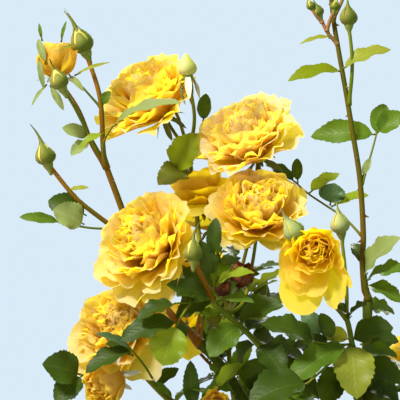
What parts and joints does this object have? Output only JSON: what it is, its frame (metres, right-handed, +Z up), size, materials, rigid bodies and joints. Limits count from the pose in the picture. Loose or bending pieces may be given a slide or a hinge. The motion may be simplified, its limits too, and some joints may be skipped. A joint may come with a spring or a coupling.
{
  "type": "rose bush",
  "caption": "Yellow shrub rose, about a metre tall: canes from a root stock, boughs, and sprays of leaves, buds and full double blooms.",
  "frame": {"origin": "middle of the flat cut under the root stock, at ground level", "axes": "+Z up, +X to the right as the picture shows the bush, +Y away from the viewer"},
  "size_m": [0.6283, 0.5583, 1.0253],
  "materials": {
    "brown_bark": "matt, smooth bark, green under brown",
    "green_bark": "satin green bark with prickles",
    "foliage": "satin green leaves with yellow petals"
  },
  "bodies": {
    "root": {"bough_back": "green_bark", "bough_front": "green_bark", "bough_low_left": "green_bark", "bough_lower_left": "green_bark", "bough_lower_right": "green_bark", "bough_middle": "green_bark", "bough_right": "green_bark", "bough_right_front": "green_bark", "bough_skirt_front": "green_bark", "bough_skirt_left": "green_bark", "bough_skirt_right": "green_bark", "cane_back": "brown_bark", "cane_back_left": "brown_bark", "cane_back_right": "brown_bark", "cane_far_right": "brown_bark", "cane_front": "brown_bark", "cane_front_left": "brown_bark", "cane_right": "brown_bark", "root_stock": "brown_bark", "spray_back": "foliage", "spray_back_left": "foliage", "spray_back_right": "foliage", "spray_far_right": "foliage", "spray_left_buds": "foliage", "spray_low_back": "foliage", "spray_low_front": "foliage", "spray_low_left": "foliage", "spray_low_right": "foliage", "spray_low_right_front": "foliage", "spray_lower_left": "foliage", "spray_lower_right": "foliage", "spray_middle": "foliage", "spray_middle_blooms": "foliage", "spray_right_shoot": "foliage", "spray_skirt_front": "foliage", "spray_skirt_left": "foliage", "spray_skirt_right": "foliage"}
  },
  "joints": []
}
